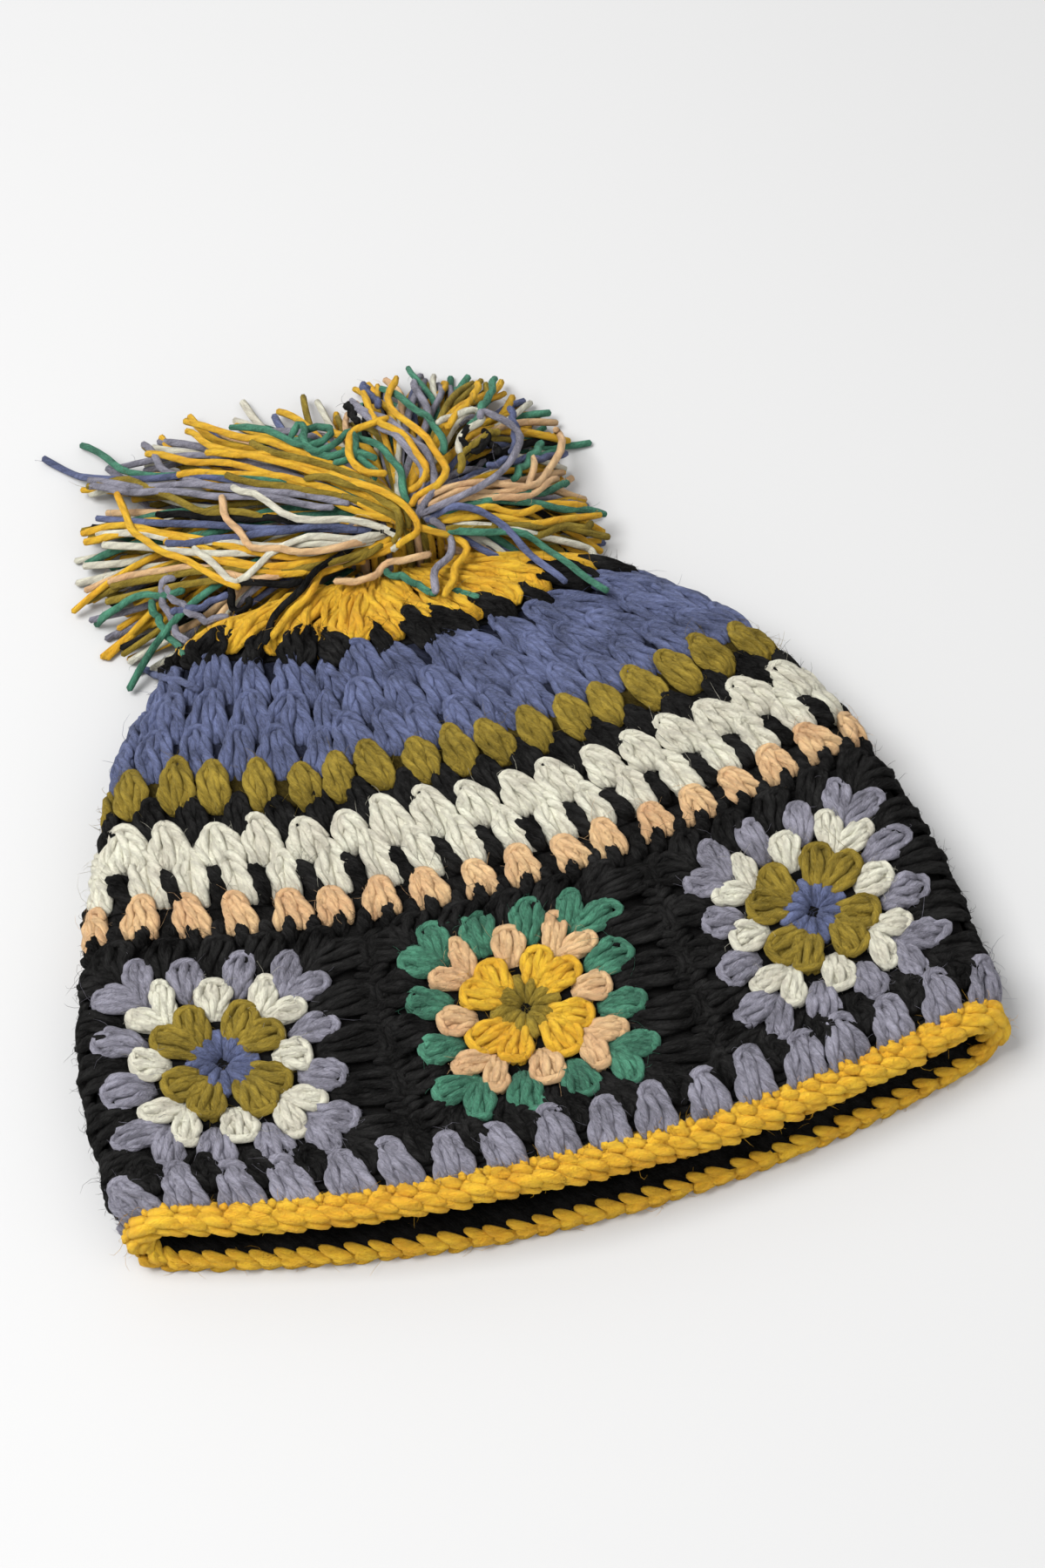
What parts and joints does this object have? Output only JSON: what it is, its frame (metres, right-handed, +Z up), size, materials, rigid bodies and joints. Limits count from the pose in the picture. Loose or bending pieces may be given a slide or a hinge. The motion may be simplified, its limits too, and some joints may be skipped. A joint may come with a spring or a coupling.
{
  "type": "crocheted wool bobble hat",
  "caption": "Crocheted wool beanie of joined granny squares and striped rounds with a loose yarn bobble, lying flat with its mouth a little open.",
  "frame": {"origin": "under the middle of the whole hat as it lies, on the surface that it rests on", "axes": "+Y from the mouth to the bobble, +Z up from the surface, +X across the hat to the right as seen from the mouth"},
  "size_m": [0.2616, 0.3156, 0.0469],
  "materials": {
    "yellow_yarn": "matte wool yarn, softly haired",
    "grey_yarn": "matte heathered wool yarn",
    "black_yarn": "matte wool yarn, softly haired",
    "peach_yarn": "matte wool yarn",
    "white_yarn": "matte wool yarn",
    "olive_yarn": "matte wool yarn",
    "blue_yarn": "matte heathered wool yarn",
    "bobble_yarn": "loose matte wool strands of all the hat's colours, mostly yellow"
  },
  "bodies": {
    "root": {"edge_round": "yellow_yarn", "grey_round": "grey_yarn", "square_1": "black_yarn", "square_2": "black_yarn", "square_3": "black_yarn", "square_4": "black_yarn", "square_5": "black_yarn", "square_6": "black_yarn", "peach_round": "peach_yarn", "white_rounds": "white_yarn", "black_round": "black_yarn", "olive_round": "olive_yarn", "blue_rounds": "blue_yarn", "black_crown_round": "black_yarn", "yellow_crown": "yellow_yarn", "bobble": "bobble_yarn"}
  },
  "joints": []
}
